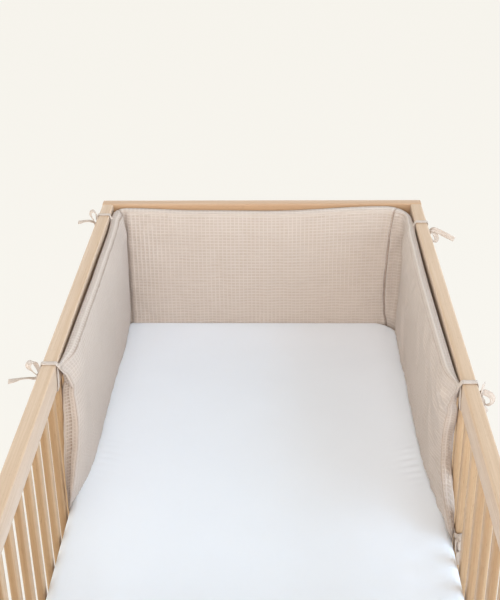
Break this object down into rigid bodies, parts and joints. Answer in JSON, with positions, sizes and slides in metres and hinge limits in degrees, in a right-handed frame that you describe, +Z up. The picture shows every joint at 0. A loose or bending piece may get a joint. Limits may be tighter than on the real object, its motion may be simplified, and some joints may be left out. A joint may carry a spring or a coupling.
{
  "type": "crib bumper tied in a wooden crib with a mattress",
  "caption": "Padded waffle cotton crib bumper in a U shape, standing round the head half of a barred wooden crib and tied to its rails with tapes.",
  "frame": {"origin": "on the floor under the middle of the crib", "axes": "+Z up, +Y along the crib's length towards the head end with the bumper, +X to the right as seen from the foot end"},
  "size_m": [0.7705, 1.255, 0.8117],
  "materials": {
    "waffle_cotton": "matt waffle weave",
    "tape": "matt twill tape",
    "white_sheet": "matt fine cotton",
    "beech": "satin clear lacquer",
    "base_wood": "plain planed"
  },
  "bodies": {
    "root": {"bumper": "waffle_cotton", "mattress": "white_sheet", "mattress_base": "base_wood", "side_left": "beech", "side_right": "beech", "end_head": "beech", "end_foot": "beech", "post_head_left": "beech", "post_head_right": "beech", "post_foot_left": "beech", "post_foot_right": "beech", "tie_left_far": "tape", "tie_left_near": "tape", "tie_right_far": "tape", "tie_right_near": "tape", "tie_right_low": "tape"}
  },
  "joints": []
}
